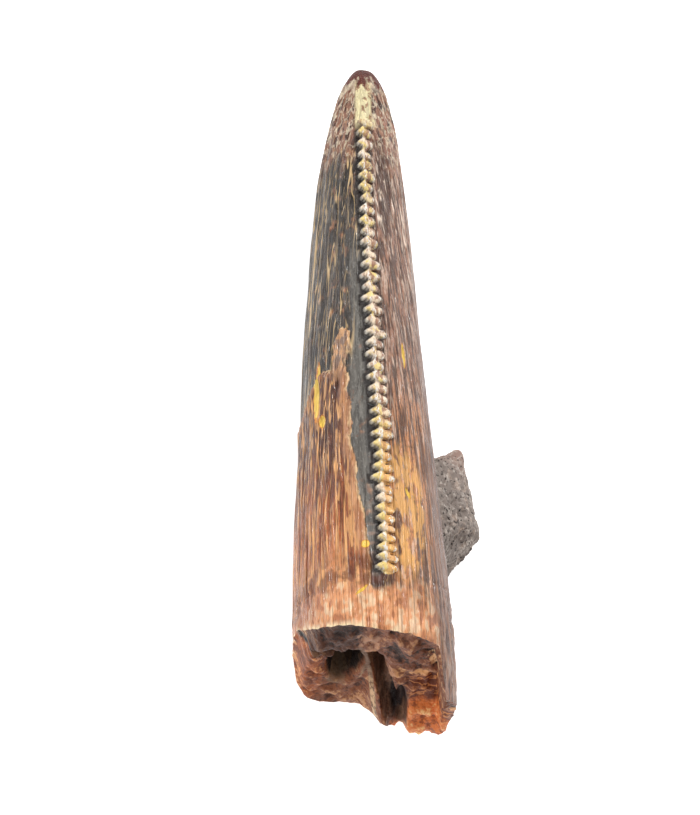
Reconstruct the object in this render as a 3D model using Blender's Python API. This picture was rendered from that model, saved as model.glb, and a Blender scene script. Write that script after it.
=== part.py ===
# A fossil tooth of a small tyrannosaur, lying on its front edge with its saw
# edge up. It leans on the lump of sandstone that still sticks to its flank.
# Units: metres. The shape is worked out along the tooth's own axes, from the
# saw edge's corner at the break: +Y to the tip, +Z to the saw edge, and +X to
# the side with the lump. Shares of the length (q) go from 0 there to 1 at the tip.

import math
from collections import namedtuple

import bmesh
import bpy
import numpy as np
from mathutils import Matrix, Vector

MM = 0.001
Hollow = namedtuple("Hollow", "centre size turn depth")

# Tooth, as measured along and across its own axis
TOOTH_LENGTH = 24.4 * MM  # from the break to the tip
BASE_DEPTH = 8.8 * MM  # saw edge to front edge, at the break
BASE_WIDTH = 6.25 * MM  # flank to flank, at the break
TIP_FULLNESS = 0.55  # how much wider the tip is than a plain parabola
TIP_FULLNESS_REACH = 0.33  # how far down from the tip that goes, as a share of the length
WIDEST = 0.55  # where the section is widest, as a share of its depth from the saw edge
SAW_EDGE_HOLLOW = 0.45 * MM  # how far the saw edge bows in, halfway up
TIP_DROP = 0.9 * MM  # how far the tip falls below the saw edge's line
SAW_EDGE_WANDER = 0.18 * MM  # how far the saw edge strays to the left
WANDER_CENTRE = 0.75  # where it does so most, and over what stretch, as shares of the length
WANDER_SPREAD = 0.25
FLANK_PINCH = 0.03  # the shallow hollow in each flank near the base, as a share of the width
TIP_WEAR_DEPTH = 0.25 * MM  # how much of the tip the slanted wear face took
TIP_WEAR_NORMAL = Vector((0.10, 0.55, 0.83)).normalized()

# Saw edges: one denticle after another, smaller towards the base
SAW_START = 2.2 * MM
SAW_END = 21.6 * MM  # from here to the tip they are worn down
PITCH_AT_BASE = 0.39 * MM
PITCH_AT_TIP = 0.49 * MM
PITCH_GROWN = 9 * MM  # where the pitch has reached its value at the tip
DENTICLE_ROWS = (0.0, 0.3, 0.7)  # a slot and the two shoulders of the denticle above it
DENTICLE_HEIGHT = 0.45 * MM
DENTICLE_HALF_WIDTH = 0.42 * MM
SWELL_HEIGHT = 0.22 * MM  # the low rise that carries the denticles
SWELL_HALF_WIDTH = 1.3 * MM
FRONT_SAW_START = 12.5 * MM
FRONT_SCALE = 0.55  # the front edge's denticles against the rear ones

# Grid of the faceted solid
SAW_STRIP = tuple(x * MM for x in (0.2, 0.42, 0.65))
FRONT_STRIP = tuple(x * MM for x in (0.4, 0.15))
FLANK_COLUMNS = (0.10, 0.165, 0.20, 0.31, 0.44, 0.57, 0.71, 0.86)  # shares of the way to the front
TIP_ROWS = (0.3, 0.55, 0.75, 0.9, 0.98)  # shares of the way from the last slot to the tip
ROOT_ROWS = 7
BREAK_RINGS = 13
BREAK_REACH = 5 * MM  # how far up the rows still follow the rim's ups and downs

# Broken base. Places on it are in mm: to the side, and from the saw edge. Heights
# are in mm too, up the tooth from the mean break.
RIM = (  # degrees round the section, 90 at the saw edge and 0 on the lump's side, and the height
    (-90, -0.40), (-85, -0.53), (-80, -0.65), (-75, -0.76), (-62, -1.20), (-50, -1.38), (-36, -2.00),
    (-24, -2.30), (-8, -2.38), (0, -2.20), (15, -2.35), (38, -2.60), (51, -2.65), (56, -0.66),
    (65, -0.54), (75, -0.41), (90, -0.23), (100, -0.07), (110, 0.07), (126, 0.16), (141, 0.33),
    (155, 0.56), (165, 0.79), (180, 1.30), (190, 1.13), (205, 0.80), (215, 0.15), (230, -0.32),
    (245, -0.42), (260, -0.32), (270, -0.40),
)
LEFT_INSIDE = (  # from the saw edge, and the height of the left half's surface there
    (0, 0.0), (0.5, -0.05), (2.4, -0.3), (2.9, -0.2), (3.6, -0.05), (5.0, -0.1), (8.8, -0.3),
)
RIGHT_INSIDE = (
    (0, -0.2), (0.9, -0.62), (3.1, -0.9), (3.25, -0.8), (5.0, -1.3), (5.4, -1.6), (6.9, -2.1),
    (7.6, -1.8), (8.8, -1.1),
)
SIDES_MEET = (-0.2, 0.9)
SKIN = (0.85, 1.0)  # shares of the way out, where the inside rises to the rim
WALL_INSIDE = ((0.6, 2.06), (1.5, 2.22), (4.0, 2.50), (5.0, 2.62), (7.0, 3.00))  # right outer wall
WALL_END = (6.0, 7.2)
HOLLOWS = (  # the two pulp hollows, and a pit beside the right one
    Hollow(centre=(-1.10, 4.35), size=(0.85, 2.4), turn=0.0, depth=2.3),
    Hollow(centre=(0.58, 5.2), size=(0.50, 3.4), turn=-0.32, depth=2.0),
    Hollow(centre=(1.25, 6.2), size=(0.34, 1.9), turn=-0.1, depth=1.3),
)
SEPTUM = (  # the thin wall between the pulp hollows: a stem and two legs
    ((-0.88, 2.0), (-0.2, 4.4)),
    ((-0.2, 4.4), (-0.69, 8.2)),
    ((-0.2, 4.4), (0.62, 8.6)),
)
SEPTUM_HALF = 0.17

# How it lies
LEAN = math.radians(8)  # saw edge towards the lump
REST_TILT = math.radians(7)  # tip down, until the front edge lies along the ground
KEEL_WORN_AWAY = 0.16 * MM  # the small flat spot on the front edge

# Sandstone lump, placed from the saw edge's corner at the break
LUMP_CENTRE = Vector((1.95, 6.3, 1.3)) * MM
LUMP_FACES = (  # the way each broken face points, and how far it is from the centre in mm
    ((0.00, 0.00, -1.00), 1.60),
    ((-1.00, 0.00, 0.00), 2.60),
    ((0.96, 0.17, 0.20), 1.52),
    ((0.70, -0.66, 0.25), 1.68),
    ((0.12, 0.97, 0.20), 2.20),
    ((-0.35, -0.90, 0.25), 1.95),
    ((0.45, -0.10, 0.89), 1.80),
    ((0.75, 0.20, 0.63), 1.46),
)
LUMP_KNOB_WAY = Vector((1.0, 2.25, -0.1)).normalized()
LUMP_KNOB_HEIGHT = 0.5 * MM
LUMP_KNOB_SPREAD = 0.22  # radians
GAP = 0.3 * MM  # between the lump and the tooth

FOSSIL_BROWN = (0.33, 0.20, 0.13, 1)
SANDSTONE_GREY = (0.25, 0.21, 0.19, 1)


def smooth(low, high, value):
    """0 below low, 1 above high, with a smooth rise between them."""
    t = np.clip((value - low) / (high - low), 0, 1)
    return t * t * (3 - 2 * t)


def half_width(q):
    """A parabola from tip to base, with a fuller tip."""
    fuller = np.exp((q - 1) / TIP_FULLNESS_REACH) - math.exp(-1 / TIP_FULLNESS_REACH)
    return BASE_WIDTH / 2 * np.sqrt(1 - q) * (1 + TIP_FULLNESS * fuller)


def depth(q):
    return BASE_DEPTH * (1 - q**2) ** 0.6


def saw_edge_height(q):
    return -SAW_EDGE_HOLLOW * np.sin(math.pi * q) - TIP_DROP * q**2


def squareness(q):
    """The superellipse's power: a rounded box at the base, a lens towards the tip."""
    return 2.7 - 0.8 * smooth(0.0, 0.75, q)


def section(q, angle, extra=0.0):
    """(side, height) of the smooth surface. Angle is 90 degrees at the saw edge."""
    q = np.maximum(q, 0)
    power = 2 / squareness(q)
    cosine, sine = np.cos(angle), np.sin(angle)
    pinch = 1 - FLANK_PINCH * np.exp(-((sine / 0.43) ** 2)) * (1 - smooth(0, 0.5, q))
    side = (half_width(q) + extra) * np.sign(cosine) * np.abs(cosine) ** power * pinch
    share = np.where(sine > 0, WIDEST, 1 - WIDEST)
    reach = share * depth(q) + extra
    middle = saw_edge_height(q) - WIDEST * depth(q)
    return side, middle + reach * np.sign(sine) * np.abs(sine) ** power


def wander(q, angle):
    """How far the saw edge and the surface beside it stray to the left."""
    share = np.exp(-(((q - WANDER_CENTRE) / WANDER_SPREAD) ** 2))
    return SAW_EDGE_WANDER * share * np.clip(np.sin(angle), 0, 1) ** 4


def angle_at(q, side):
    """The angle at which the section is this far to the side."""
    q = np.maximum(q, 0)
    share = np.clip(side / half_width(q), 0, 0.97)
    return np.arccos(share ** (squareness(q) / 2))


def bowl(u, m, hollow):
    """1 on the floor of an oval hollow in the break, 0 outside it, and a slope between."""
    du, dm = u - hollow.centre[0], m - hollow.centre[1]
    across = (du * math.cos(hollow.turn) + dm * math.sin(hollow.turn)) / hollow.size[0]
    along = (dm * math.cos(hollow.turn) - du * math.sin(hollow.turn)) / hollow.size[1]
    return 1 - smooth(0.5, 1, np.hypot(across, along))


def ridge(u, m, line, half):
    """1 along a line between two points of the break, and 0 away from it."""
    (u0, m0), (u1, m1) = line
    run = (u1 - u0) ** 2 + (m1 - m0) ** 2
    t = np.clip(((u - u0) * (u1 - u0) + (m - m0) * (m1 - m0)) / run, 0, 1)
    away = np.hypot(u - u0 - t * (u1 - u0), m - m0 - t * (m1 - m0))
    return np.exp(-((away / half) ** 2))


def along_depth(table, m):
    """The height or place that a table gives for a distance from the saw edge."""
    places, heights = zip(*table)
    return np.interp(m, places, heights)


def rim_level(angle):
    """How far up the tooth the rim of the break is, in mm."""
    return along_depth(RIM, np.degrees(angle))


def break_height(angle, share, side, from_saw_edge):
    """How far up the tooth the broken surface lies, this share of the way out to the rim."""
    u, m = side / MM, from_saw_edge / MM
    right = smooth(*SIDES_MEET, u)
    inside = along_depth(LEFT_INSIDE, m) * (1 - right) + along_depth(RIGHT_INSIDE, m) * right
    septum = np.maximum.reduce([ridge(u, m, line, SEPTUM_HALF) for line in SEPTUM])
    hollows = np.maximum.reduce([hollow.depth * bowl(u, m, hollow) for hollow in HOLLOWS])
    inside = inside + hollows * (1 - septum)
    wall = smooth(-0.07, 0.07, u - along_depth(WALL_INSIDE, m)) * (1 - smooth(*WALL_END, m))
    outward = np.maximum(smooth(*SKIN, share), wall)
    return (inside + (rim_level(angle) - inside) * outward) * MM


def denticle_slots():
    """Where the slots between the denticles are, from the base to the tip."""
    slots = [SAW_START]
    while slots[-1] < SAW_END:
        grown = smooth(SAW_START, PITCH_GROWN, slots[-1])
        slots.append(slots[-1] + PITCH_AT_BASE + (PITCH_AT_TIP - PITCH_AT_BASE) * grown)
    return slots


def rows_up_the_tooth():
    """(distance up, phase) of every row. Phase is 0 in a slot and goes to 1 at the next one."""
    slots = denticle_slots()
    rows = [(SAW_START * i / ROOT_ROWS, 0.0) for i in range(ROOT_ROWS)]
    for low, high in zip(slots, slots[1:]):
        rows += [(low + (high - low) * phase, phase) for phase in DENTICLE_ROWS]
    rows.append((slots[-1], 0.0))
    room = TOOTH_LENGTH - slots[-1]
    rows += [(slots[-1] + room * share, 0.5) for share in TIP_ROWS]
    return np.array(rows).T


def column_angles(q):
    """The angle of each column, all the way round, for an array of rows."""
    shrink = np.clip(half_width(np.maximum(q, 0)) / (1.9 * MM), 0, 1)
    saw = [angle_at(q, x * shrink) for x in SAW_STRIP]
    front = [-angle_at(q, x * shrink) for x in FRONT_STRIP]
    flank = [saw[-1] + (front[0] - saw[-1]) * share for share in FLANK_COLUMNS]
    right = [*saw, *flank, *front]
    quarter = np.full_like(q, math.pi / 2)
    left = [math.pi - a for a in reversed(right)]
    return np.stack([quarter, *right, -quarter, *left], axis=1)


def saw_rise(up, phase, side, start, scale):
    """How far the denticles stand out of the edge."""
    lobe = np.sin(math.pi * phase) ** 0.6
    strength = smooth(start - 1.2 * MM, start + 0.6 * MM, up)
    strength = strength * (1 - smooth(SAW_END, 0.98 * TOOTH_LENGTH, up))
    half = DENTICLE_HALF_WIDTH * scale * (0.6 + 0.4 * lobe)
    tall = DENTICLE_HEIGHT * scale * (0.25 + 0.75 * lobe)
    return tall * strength * np.clip(1 - (np.abs(side) / half) ** 1.4, 0, 1)


def worn_tip(points):
    """Points beyond the slanted wear face at the tip, moved back onto it."""
    normal = np.array(TIP_WEAR_NORMAL)
    tip = np.array((0, TOOTH_LENGTH, saw_edge_height(1.0)))
    past = (points - tip) @ normal + TIP_WEAR_DEPTH
    return points - np.maximum(past, 0)[..., None] * normal


def tooth_grid():
    """The outer surface of the tooth as rows of points, from the break to the tip."""
    up, phase = rows_up_the_tooth()
    up, phase = up[:, None], phase[:, None]
    q = up / TOOTH_LENGTH
    angle = column_angles(q[:, 0])
    base_side, base_height = section(np.zeros_like(angle[:1]), angle[:1])
    rim = rim_level(angle[:1]) * MM
    up = up + rim * np.clip(1 - up / BREAK_REACH, 0, 1) ** 2
    side, height = section(up / TOOTH_LENGTH, angle)
    saw_side = np.sin(angle) > 0
    rear = saw_rise(up, phase, side, SAW_START, 1.0)
    swell = SWELL_HEIGHT * np.exp(-((side / SWELL_HALF_WIDTH) ** 2)) * (1 - q) ** 0.5
    front = saw_rise(up, phase, side, FRONT_SAW_START, FRONT_SCALE)
    height = height + np.where(saw_side, rear + swell, -front)
    points = np.stack([side - wander(q, angle), up + 0 * side, height], axis=-1)
    return worn_tip(points), angle[0], base_side[0], base_height[0]


def break_grid(rim, angle, base_side, base_height):
    """The broken surface as rings of points from its middle to just inside the rim."""
    middle = -0.5 * BASE_DEPTH
    rings = []
    for i in range(1, BREAK_RINGS):
        share = i / BREAK_RINGS
        side = base_side * share
        height = middle + (base_height - middle) * share
        x = rim[:, 0] * share
        z = middle + (rim[:, 2] - middle) * share
        rings.append(np.stack([x, break_height(angle, share, side, -height), z], axis=-1))
    return rings, np.array((0.0, rings[0][:, 1].mean(), middle))


def mesh_of_rings(name, rings, first_end, last_end):
    """A closed mesh through rings of as many points each, with a point at either end."""
    count = len(rings[0])
    points = [first_end, *np.concatenate(rings), last_end]
    faces = []
    for i in range(count):
        j = (i + 1) % count
        faces.append((0, 1 + i, 1 + j))
        for row in range(len(rings) - 1):
            here, above = 1 + row * count, 1 + (row + 1) * count
            faces.append((here + i, above + i, above + j, here + j))
        last = 1 + (len(rings) - 1) * count
        faces.append((last + i, len(points) - 1, last + j))
    mesh = bpy.data.meshes.new(name)
    mesh.from_pydata([tuple(p) for p in points], [], faces)
    tidy = bmesh.new()
    tidy.from_mesh(mesh)
    bmesh.ops.recalc_face_normals(tidy, faces=tidy.faces)
    tidy.to_mesh(mesh)
    tidy.free()
    return mesh


def tooth_mesh():
    outer, angle, base_side, base_height = tooth_grid()
    inner, middle = break_grid(outer[0], angle, base_side, base_height)
    tip = outer[-1].mean(axis=0)
    mesh = mesh_of_rings("tooth", [*inner, *outer], middle, tip)
    mesh.shade_smooth()
    mesh.set_sharp_from_angle(angle=math.radians(35))
    return mesh


def clearance_mesh():
    """A plain tooth, larger all round by the gap, that shapes the lump's inner face."""
    q = np.linspace(0, 0.9, 24)[:, None]
    angle = np.linspace(0, 2 * math.pi, 32, endpoint=False)[None, :]
    side, height = section(q, angle, extra=GAP)
    points = np.stack([side, q * TOOTH_LENGTH + 0 * side, height], axis=-1)
    ends = (points[0].mean(axis=0), points[-1].mean(axis=0))
    return mesh_of_rings("tooth_clearance", list(points), *ends)


def ground_mesh():
    """The space under the surface that the fossil lies on."""
    block = bmesh.new()
    bmesh.ops.create_cube(block, size=2 * TOOTH_LENGTH)
    bmesh.ops.translate(block, verts=block.verts, vec=(0, 0, -TOOTH_LENGTH))
    mesh = bpy.data.meshes.new("ground")
    block.to_mesh(mesh)
    block.free()
    return mesh


def lump_mesh():
    """A round stone whose points are held inside the planes of its broken faces."""
    stone = bmesh.new()
    bmesh.ops.create_icosphere(stone, subdivisions=3, radius=1)
    faces = [(Vector(way).normalized(), off * MM) for way, off in LUMP_FACES]
    for vertex in stone.verts:
        way = vertex.co.normalized()
        reach = min(off / max(way.dot(face), 1e-6) for face, off in faces)
        turn = way.angle(LUMP_KNOB_WAY)
        knob = LUMP_KNOB_HEIGHT * math.exp(-((turn / LUMP_KNOB_SPREAD) ** 2))
        vertex.co = LUMP_CENTRE + way * (reach + knob)
    mesh = bpy.data.meshes.new("matrix_lump")
    stone.to_mesh(mesh)
    stone.free()
    return mesh


def finish(name, colour, roughness):
    material = bpy.data.materials.new(name)
    material.use_nodes = True
    shader = material.node_tree.nodes["Principled BSDF"]
    shader.inputs["Base Color"].default_value = colour
    shader.inputs["Roughness"].default_value = roughness
    shader.inputs["Metallic"].default_value = 0.0
    return material


def place(mesh, collection, matrix=Matrix()):
    obj = bpy.data.objects.new(mesh.name, mesh)
    obj.matrix_world = matrix
    collection.objects.link(obj)
    return obj


def place_cutter(mesh, collection, matrix=Matrix()):
    obj = place(mesh, collection, matrix)
    obj.hide_render = True
    obj.display_type = "WIRE"
    return obj


def cut(obj, cutter):
    """Takes the cutter's shape out of the object."""
    modifier = obj.modifiers.new(f"cut by {cutter.name}", "BOOLEAN")
    modifier.operation = "DIFFERENCE"
    modifier.solver = "EXACT"
    modifier.object = cutter


def centring(points):
    """The move that puts the middle of these points over the origin."""
    low = Vector(min(point[axis] for point in points) for axis in range(3))
    high = Vector(max(point[axis] for point in points) for axis in range(3))
    middle = (low + high) / 2
    return Matrix.Translation((-middle.x, -middle.y, 0))


def empty_scene():
    for old in list(bpy.data.objects):
        bpy.data.objects.remove(old)


def new_collection(name):
    collection = bpy.data.collections.new(name)
    bpy.context.scene.collection.children.link(collection)
    return collection


def main():
    empty_scene()
    fossil = new_collection("fossil_tooth")
    cutters = new_collection("cutters")

    tooth_shape = tooth_mesh()
    lump_shape = lump_mesh()
    tooth_shape.materials.append(finish("stained enamel", FOSSIL_BROWN, 0.45))
    lump_shape.materials.append(finish("sandstone", SANDSTONE_GREY, 0.95))

    lain_down = Matrix.Rotation(-REST_TILT, 4, "X") @ Matrix.Rotation(LEAN, 4, "Y")
    lowest = min((lain_down @ vertex.co).z for vertex in tooth_shape.vertices)
    lain_down = Matrix.Translation((0, 0, -lowest - KEEL_WORN_AWAY)) @ lain_down
    tooth_points = [lain_down @ vertex.co for vertex in tooth_shape.vertices]
    lump_points = [vertex.co for vertex in lump_shape.vertices]
    centred = centring([*tooth_points, *lump_points])

    tooth = place(tooth_shape, fossil, centred @ lain_down)
    matrix_lump = place(lump_shape, fossil, centred)
    clearance = place_cutter(clearance_mesh(), cutters, centred @ lain_down)
    ground = place_cutter(ground_mesh(), cutters)
    cut(tooth, ground)
    cut(matrix_lump, clearance)
    cut(matrix_lump, ground)


main()
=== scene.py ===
import math

import bmesh
import bpy
import numpy as np
from mathutils import Matrix, Vector, noise


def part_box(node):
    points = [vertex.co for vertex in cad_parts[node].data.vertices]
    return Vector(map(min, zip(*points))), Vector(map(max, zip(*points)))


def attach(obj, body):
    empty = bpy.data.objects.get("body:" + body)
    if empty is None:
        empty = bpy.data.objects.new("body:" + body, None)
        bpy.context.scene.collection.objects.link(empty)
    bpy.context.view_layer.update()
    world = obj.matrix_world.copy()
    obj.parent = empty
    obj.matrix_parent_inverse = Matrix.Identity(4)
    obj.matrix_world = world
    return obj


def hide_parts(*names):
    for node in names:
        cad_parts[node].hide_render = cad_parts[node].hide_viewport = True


# A fossil tooth lies on its worn front edge, saw edge up, and leans on a lump of
# sandstone. Shapes are worked out in millimetres along the tooth's own axes, from the
# saw edge's corner at the break: Y to the tip, Z to the saw edge, X to the lump's side.

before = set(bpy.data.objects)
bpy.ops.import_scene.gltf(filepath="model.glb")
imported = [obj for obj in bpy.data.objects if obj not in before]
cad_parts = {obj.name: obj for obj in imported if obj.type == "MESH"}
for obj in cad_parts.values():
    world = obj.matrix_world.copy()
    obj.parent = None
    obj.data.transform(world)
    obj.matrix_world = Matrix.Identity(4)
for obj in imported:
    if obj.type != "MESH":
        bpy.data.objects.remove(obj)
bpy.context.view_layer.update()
mm = 0.001
print("frame loaded")


def smooth(low, high, value):  # 0 below low, 1 above high, smooth between
    t = np.clip((value - low) / (high - low), 0, 1)
    return t * t * (3 - 2 * t)


def roughField(points, size, seed, octaves=3):  # noise of about -1 to 1, size in mm
    scaled = (points / np.array(size) + seed * 7.31).reshape(-1, 3).tolist()
    field = [noise.fractal(p, 1.0, 2.0, octaves) for p in scaled]
    return np.array(field).reshape(points.shape[:-1])


def linear(hexColour):  # an sRGB hex value as a linear colour
    parts = [int(hexColour[i:i + 2], 16) / 255 for i in (1, 3, 5)]
    return [*(c / 12.92 if c <= 0.04045 else ((c + 0.055) / 1.055) ** 2.4 for c in parts), 1]


# Nodes

making = {}  # the node tree that new nodes go into


def fill(node, inputs):  # sets or links a node's inputs, by name or in order; text names a value of the mesh
    shown = [socket for socket in node.inputs if socket.enabled]
    given = inputs.items() if isinstance(inputs, dict) else enumerate(inputs)
    for key, value in given:
        socket = shown[key] if isinstance(key, int) else next(s for s in shown if s.name == key)
        if isinstance(value, str):
            value = addNode("Attribute", out="Fac", attribute_name=value)
        if isinstance(value, bpy.types.NodeSocket):
            node.id_data.links.new(value, socket)
        else:
            socket.default_value = value


def addNode(kind, inputs=(), out=None, **settings):  # a node, set and linked; gives an output
    node = making["tree"].nodes.new("ShaderNode" + kind)
    for name, value in settings.items():
        setattr(node, name, value)
    fill(node, inputs)
    return node.outputs[out] if out else next(s for s in node.outputs if s.enabled)


def noiseAt(coords, size, seed=0, detail=3):  # noise around 0.5; size in mm across and along
    moved = addNode("Mapping", {"Vector": coords, "Location": (seed, seed * 1.7, seed * 0.6),
                                "Scale": [1 / s for s in (*size, size[0])[:3]]})
    return addNode("TexNoise", {"Vector": moved, "Scale": 1.0, "Detail": detail}, out="Fac")


def overlap(*masks):  # masks multiplied; (value, low, high) is 0 at low and 1 at high, smooth between
    product = None
    for mask in masks:
        if isinstance(mask, tuple):
            ends = dict(zip(("Value", "From Min", "From Max"), mask))
            mask = addNode("MapRange", ends, interpolation_type="SMOOTHSTEP")
        product = mask if product is None else addNode("Math", [product, mask], operation="MULTIPLY")
    return product


def strayed(value, coords, size, amount, seed=0):  # a value that noise moves, half the amount each way
    off = addNode("Math", [noiseAt(coords, size, seed), 0.5], operation="SUBTRACT")
    return addNode("Math", [off, amount, value], operation="MULTIPLY_ADD")


def patches(coords, size, low, high, seed=0, detail=3):  # noise, 0 below low and 1 above high
    return overlap((noiseAt(coords, size, seed, detail), low, high))


def thinLines(coords, size, width, seed=0, detail=1):  # 1 on lines where the noise crosses its middle
    off = addNode("Math", [noiseAt(coords, size, seed, detail), 0.5], operation="SUBTRACT")
    return overlap((addNode("Math", [off], operation="ABSOLUTE"), width, 0))


def spotMask(across, down, at, size):  # 1 in a soft oval
    squares = []
    for value, centre, half in zip((across, down), at, size):
        off = addNode("Math", [value, centre], operation="SUBTRACT")
        share = addNode("Math", [off, half], operation="DIVIDE")
        squares.append(overlap(share, share))
    return overlap((addNode("Math", squares, operation="ADD"), 1.3, 0.6))


def layered(look, base, layers):  # a look's colours laid over each other, each through its masks
    def plain(colour):
        return linear(look[colour]) if isinstance(colour, str) else colour

    made = plain(base)
    for colour, *masks in layers:
        made = addNode("Mix", [overlap(*masks), made, plain(colour)], data_type="RGBA")
    return made


def newMaterial(name):  # new nodes then go into it; also gives its shader
    material = bpy.data.materials.new(name)
    material.use_nodes = True
    making["tree"] = material.node_tree
    return material, material.node_tree.nodes["Principled BSDF"]


# Camera and light

view = {
    "elevation": 75.5,  # degrees; it looks along Y and down on the tooth
    "roll": -1.95,
    "distance": 150 * mm,
    "lens": 165.6,  # on a 36 mm sensor
    "looksAt": (-1.26 * mm, -0.62 * mm),  # across and up in the picture, from the tooth's middle
    "middle": Vector((0, 0, 5 * mm)),
}
studio = {
    "worldStrength": 0.26,
    "floorColour": "#f7f7f7",
    "floorGlow": 0.72,  # a lit table, so that shadows stay faint
    "floorSize": 3.0,
    "floorGap": 0.02 * mm,
}
lamps = {  # direction from the tooth as azimuth and elevation in degrees, distance, size, watts
    "key": {"azimuth": 150, "elevation": 55, "distance": 0.25, "size": 0.06, "power": 0.44},
    "fill": {"azimuth": 285, "elevation": 48, "distance": 0.3, "size": 0.12, "power": 0.3},
}


def aimed(forward, roll):  # the turn that looks along forward
    right = forward.cross(Vector((0, 0, 1))).normalized()
    up = right.cross(forward)
    turned = right * math.cos(roll) + up * math.sin(roll)
    return Matrix((turned, turned.cross(forward), -forward)).transposed()


def addCamera():
    tilt = math.radians(view["elevation"])
    forward = Vector((0, math.cos(tilt), -math.sin(tilt)))
    turn = aimed(forward, math.radians(view["roll"]))
    across, up = view["looksAt"]
    aim = view["middle"] + turn.col[0] * across + turn.col[1] * up
    data = bpy.data.cameras.new("camera")
    data.lens = view["lens"]
    data.clip_start = 0.01
    data.clip_end = 10
    camera = bpy.data.objects.new("camera", data)
    camera.matrix_world = Matrix.Translation(aim - forward * view["distance"]) @ turn.to_4x4()
    bpy.context.scene.collection.objects.link(camera)
    bpy.context.scene.camera = camera


def addLamp(name, lamp):
    azimuth, elevation = math.radians(lamp["azimuth"]), math.radians(lamp["elevation"])
    flat = math.cos(elevation)
    way = Vector((math.sin(azimuth) * flat, -math.cos(azimuth) * flat, math.sin(elevation)))
    data = bpy.data.lights.new(name, "AREA")
    data.shape = "DISK"
    data.size = lamp["size"]
    data.energy = lamp["power"]
    light = bpy.data.objects.new(name, data)
    place = view["middle"] + way * lamp["distance"]
    light.matrix_world = Matrix.Translation(place) @ aimed(-way, 0).to_4x4()
    bpy.context.scene.collection.objects.link(light)


def addStudio():
    world = bpy.data.worlds.new("studio")
    bpy.context.scene.world = world
    world.use_nodes = True
    sky = world.node_tree.nodes["Background"]
    sky.inputs["Color"].default_value = (1, 1, 1, 1)
    sky.inputs["Strength"].default_value = studio["worldStrength"]
    mesh = bpy.data.meshes.new("floor")
    half = studio["floorSize"] / 2
    low = -studio["floorGap"]
    corners = [(-half, -half, low), (half, -half, low), (half, half, low), (-half, half, low)]
    mesh.from_pydata(corners, [], [(0, 1, 2, 3)])
    floor = bpy.data.objects.new("floor", mesh)
    bpy.context.scene.collection.objects.link(floor)
    paper, shader = newMaterial("whitePaper")
    fill(shader, {"Base Color": linear(studio["floorColour"]), "Roughness": 1.0, "Specular IOR Level": 0.0,
                  "Emission Color": (1, 1, 1, 1), "Emission Strength": studio["floorGlow"]})
    mesh.materials.append(paper)
    for name, lamp in lamps.items():
        addLamp(name, lamp)
    bpy.context.scene.view_settings.view_transform = "Standard"


addCamera()
addStudio()
print("camera, floor and light placed")


# Tooth: its shape

tooth = {  # millimetres and degrees
    "length": 24.4,  # from the break to the tip
    "baseDepth": 8.8,  # saw edge to front edge, at the break
    "baseWidth": 6.25,  # flank to flank, at the break
    "tipFullness": 0.55,  # how much wider the tip is than a plain parabola
    "tipFullnessReach": 0.33,
    "widest": 0.55,  # where the section is widest, as a share of its depth
    "sawEdgeHollow": 0.45,
    "tipDrop": 0.9,
    "sawEdgeWander": 0.18,
    "wanderCentre": 0.75,
    "wanderSpread": 0.25,
    "flankPinch": 0.03,
    "tipWearDepth": 0.25,
    "tipWearRounding": 0.3,
    "tipWearNormal": Vector((0.10, 0.55, 0.83)).normalized(),
    "lean": 8,
    "restTilt": 7,
    "keelWornAway": 0.16,  # of the front edge, which it lies on
    "sharpFrom": 70,  # between two faces
}
saw = {  # millimetres
    "start": 2.2,
    "growBefore": 1.2,  # they rise from this far below the start
    "growAfter": 0.6,  # to this far above it
    "end": 21.6,  # from here on they are worn
    "wornDown": 23.912,  # and from here on there are none
    "pitchAtBase": 0.39,
    "pitchAtTip": 0.49,
    "pitchGrown": 9,  # up from here the pitch stays the same
    "height": 0.40,
    "halfWidth": 0.42,
    "swellHeight": 0.22,  # the low rise that carries them
    "swellHalfWidth": 1.3,
    "frontStart": 12.5,  # on the front edge
    "frontScale": 0.55,  # as a share of those on the saw edge
    "narrowing": 0.2,  # how much narrower they are towards the tip
    "draws": {  # least and most of what differs from one denticle to the next
        "width": (0.82, 1.18),
        "height": (0.82, 1.18),
        "shift": (-0.05, 0.05),
        "tone": (0, 1),
        "rightSlotShade": (0, 0.9),  # how dark the painted shade in the slots is on the right
        "rightLow": (0.3, 0.8),  # how much lower the right end is
        "later": (0.05, 0.25),  # how far the right end lies up the tooth, as a share of the pitch
    },
}
grid = {
    "denticleRows": (0, 0.1, 0.25, 0.42, 0.58, 0.75, 0.9),  # a slot, and up over the denticle
    "rootRows": 32,
    "tipRows": 30,
    "sawColumns": 20,
    "sawColumnWidth": 0.05,
    "flankColumns": 88,
    "flankSteps": 3000,  # for measuring along the flank
    "underFlankShare": 0.42,  # how dense the columns are below the widest line
    "frontColumns": (0.6, 0.5, 0.4, 0.3, 0.2, 0.1),
    "breakRings": 38,
    "breakReach": 5,  # how far up the rows still follow the rim
}


def halfWidth(q):
    reach = tooth["tipFullnessReach"]
    fuller = np.exp((q - 1) / reach) - math.exp(-1 / reach)
    return tooth["baseWidth"] / 2 * np.sqrt(1 - q) * (1 + tooth["tipFullness"] * fuller)


def depth(q):
    return tooth["baseDepth"] * (1 - q**2) ** 0.6


def sawEdgeHeight(q):
    return -tooth["sawEdgeHollow"] * np.sin(math.pi * q) - tooth["tipDrop"] * q**2


def squareness(q):  # a rounded box at the base, a lens towards the tip
    return 2.7 - 0.8 * smooth(0.0, 0.75, q)


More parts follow.
